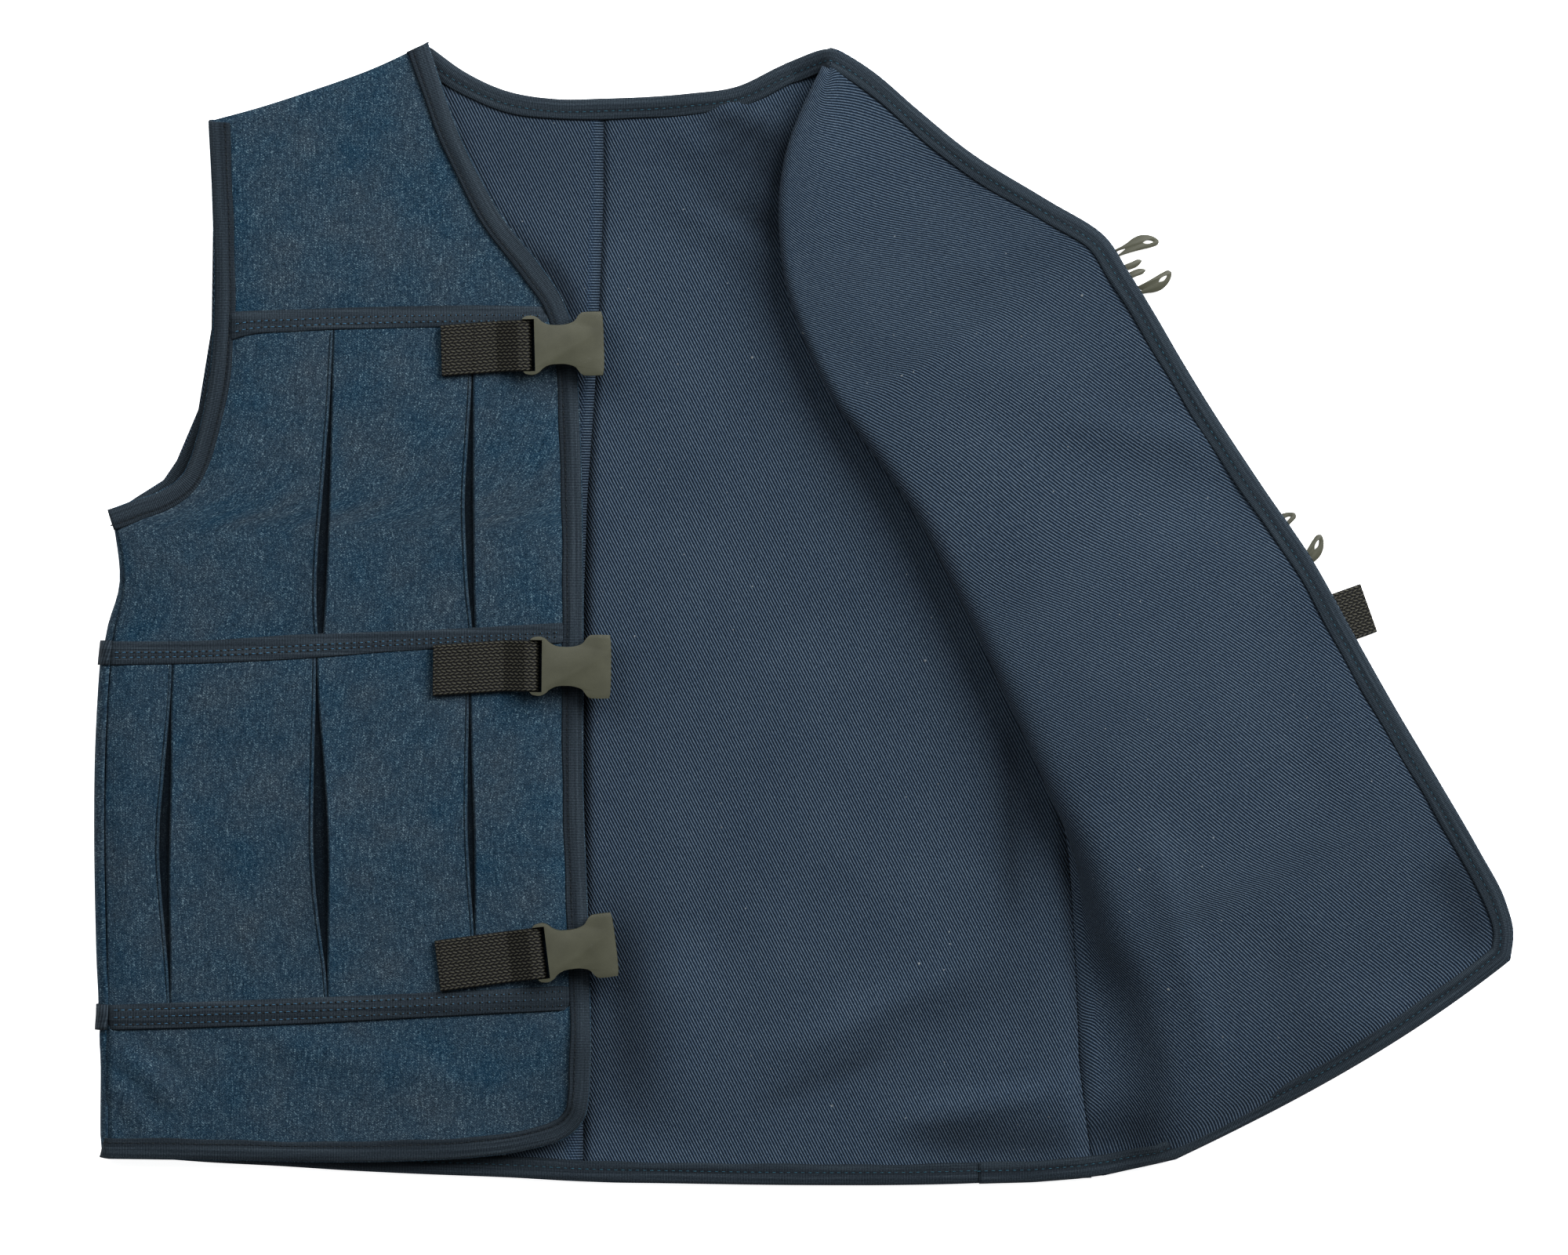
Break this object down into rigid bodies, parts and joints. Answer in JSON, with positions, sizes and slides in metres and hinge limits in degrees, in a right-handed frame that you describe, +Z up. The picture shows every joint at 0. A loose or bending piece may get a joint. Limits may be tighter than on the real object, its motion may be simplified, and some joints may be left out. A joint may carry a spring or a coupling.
{
  "type": "weighted vest",
  "caption": "Denim vest for training weights, lying on its back with one front turned open, with pleated pocket rows, bound edges and side-release buckles.",
  "frame": {"origin": "centre of the bounding box's base, on the surface that the vest lies on", "axes": "+X towards the wearer's left, across the opened vest, +Y towards the neck, +Z up out of the surface"},
  "size_m": [0.6989, 0.5606, 0.0349],
  "materials": {
    "denim": "mottled blue cotton denim",
    "twill": "navy cotton twill",
    "tape": "navy ribbed binding tape",
    "webbing": "black woven webbing",
    "buckle": "dark matt moulded plastic"
  },
  "bodies": {
    "root": {"back_hem_tape": "tape", "back_left_armhole_tape": "tape", "back_lining_left": "twill", "back_lining_right": "twill", "back_lower_band": "tape", "back_lower_pocket": "denim", "back_middle_band": "tape", "back_neck_tape": "tape", "back_right_armhole_tape": "tape", "back_shell": "denim", "left_armhole_tape": "tape", "left_front_lining": "twill", "left_front_shell": "denim", "left_front_tape": "tape", "left_lower_band": "tape", "left_lower_buckle": "buckle", "left_lower_pocket": "denim", "left_lower_strap": "webbing", "left_middle_band": "tape", "left_middle_buckle": "buckle", "left_middle_strap": "webbing", "left_middle_strap_tail": "webbing", "left_upper_band": "tape", "left_upper_buckle": "buckle", "left_upper_pocket": "denim", "left_upper_strap": "webbing", "right_armhole_tape": "tape", "right_front_lining": "twill", "right_front_shell": "denim", "right_front_tape": "tape", "right_lower_band": "tape", "right_lower_buckle": "buckle", "right_lower_pocket": "denim", "right_lower_strap": "webbing", "right_middle_band": "tape", "right_middle_buckle": "buckle", "right_middle_strap": "webbing", "right_upper_band": "tape", "right_upper_buckle": "buckle", "right_upper_pocket": "denim", "right_upper_strap": "webbing"}
  },
  "joints": []
}
